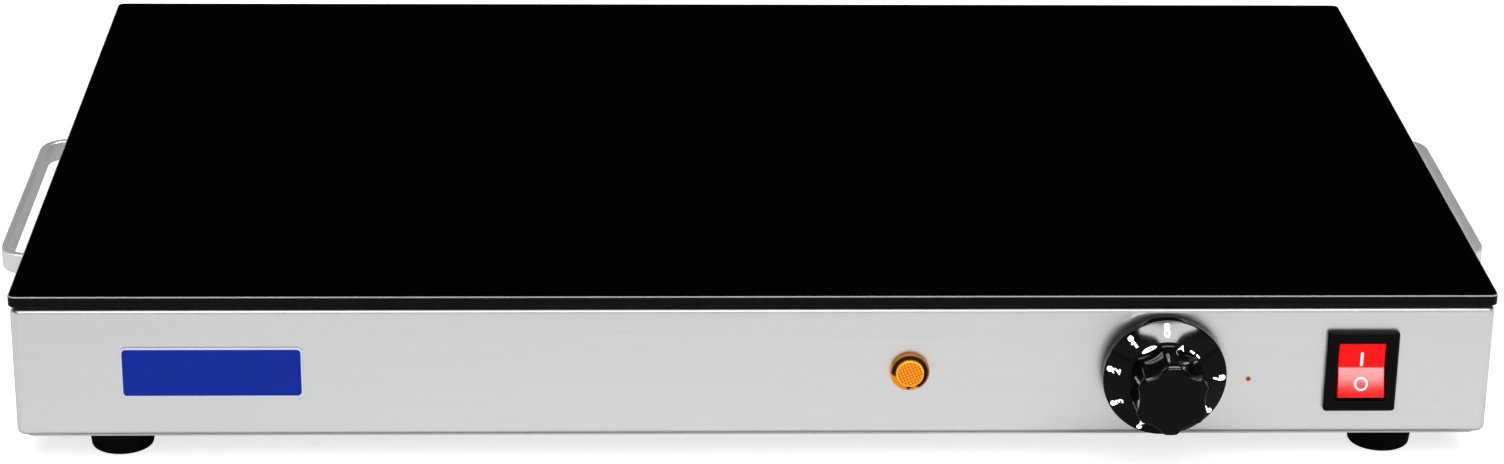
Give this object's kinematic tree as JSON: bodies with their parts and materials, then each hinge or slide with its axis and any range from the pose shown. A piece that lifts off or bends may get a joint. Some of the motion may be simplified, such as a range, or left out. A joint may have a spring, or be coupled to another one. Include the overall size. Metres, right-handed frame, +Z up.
{
  "type": "electric food warmer tray",
  "caption": "Flat countertop warming plate: black glass top on a brushed steel casing, with side handles, rubber feet, a dial, a pilot lamp and a red rocker switch.",
  "frame": {"origin": "centre of the outline, on the surface that the feet stand on; the casing's own middle lies 11.45 mm behind it, because the dial sticks out in front", "axes": "+X along the long side to the tray's right as seen from the controls, +Y to the rear, where the mains inlet is, +Z up through the glass"},
  "size_m": [0.5692, 0.3562, 0.064],
  "materials": {
    "black_glass": "polished, opaque black",
    "brushed_steel": "fine horizontal brushing",
    "polished_steel": "satin polished",
    "zinc_plate": "zinc plated",
    "aluminium": "mill finish",
    "brass": "bare",
    "copper": "bare copper",
    "dark_steel": "oxidised sheath",
    "black_gloss": "glossy",
    "black_matt": "matt",
    "black_rubber": "matt",
    "silicone": "matt",
    "red_plastic": "glossy",
    "amber_plastic": "translucent, prismatic",
    "blue_plate": "glossy, bare",
    "white_wool": "ceramic fibre",
    "brown_wire": "sleeve",
    "blue_wire": "sleeve",
    "green_wire": "sleeve",
    "grey_plastic": "moulded"
  },
  "bodies": {
    "tray": {"badge_plate": "blue_plate", "bottom_cover": "zinc_plate", "casing": "brushed_steel", "cover_screw_front": "zinc_plate", "cover_screw_left": "zinc_plate", "cover_screw_rear": "zinc_plate", "cover_screw_right": "zinc_plate", "element_clamp_left": "zinc_plate", "element_clamp_right": "zinc_plate", "foot_front_left": "black_rubber", "foot_front_right": "black_rubber", "foot_rear_left": "black_rubber", "foot_rear_right": "black_rubber", "foot_screw_front_left": "zinc_plate", "foot_screw_front_right": "zinc_plate", "foot_screw_rear_left": "zinc_plate", "foot_screw_rear_right": "zinc_plate", "glass_seal": "silicone", "glass_top": "black_glass", "handle_left": "polished_steel", "handle_right": "polished_steel", "handle_screw_left_front": "polished_steel", "handle_screw_left_rear": "polished_steel", "handle_screw_right_front": "polished_steel", "handle_screw_right_rear": "polished_steel", "heat_spreader": "aluminium", "heating_element": "dark_steel", "inlet_housing": "black_matt", "inlet_pin_earth": "brass", "inlet_pin_live": "brass", "inlet_pin_neutral": "brass", "inlet_screw_left": "zinc_plate", "inlet_screw_right": "zinc_plate", "insulation_blanket": "white_wool", "pan_rail_left": "zinc_plate", "pan_rail_right": "zinc_plate", "pilot_body": "black_matt", "pilot_lead": "black_matt", "pilot_lens": "amber_plastic", "pilot_nut": "black_matt", "reflector_pan": "aluminium", "sensor_bulb": "copper", "sensor_clip": "zinc_plate", "switch_housing": "black_gloss", "thermostat_body": "grey_plastic", "thermostat_capillary": "copper", "thermostat_plate": "zinc_plate", "thermostat_screw_left": "zinc_plate", "thermostat_screw_right": "zinc_plate", "wire_earth": "green_wire", "wire_heater_live": "brown_wire", "wire_heater_neutral": "blue_wire", "wire_live_in": "brown_wire", "wire_neutral_in": "blue_wire", "wire_switch_to_thermostat": "brown_wire"},
    "knob": {"thermostat_knob": "black_gloss", "knob_insert": "brass", "thermostat_spindle": "zinc_plate"},
    "rocker": {"switch_rocker": "red_plastic"}
  },
  "joints": [
    {"name": "knob_turn", "type": "hinge", "parent": "tray", "child": "knob", "pos_m": [0.1456, -0.15065, 0.035], "axis": [0, -1, 0], "range_deg": [0, 270]},
    {"name": "rocker_tilt", "type": "hinge", "parent": "tray", "child": "rocker", "pos_m": [0.2172, -0.14895, 0.035], "axis": [1, 0, 0], "range_deg": [0, 18]}
  ]
}
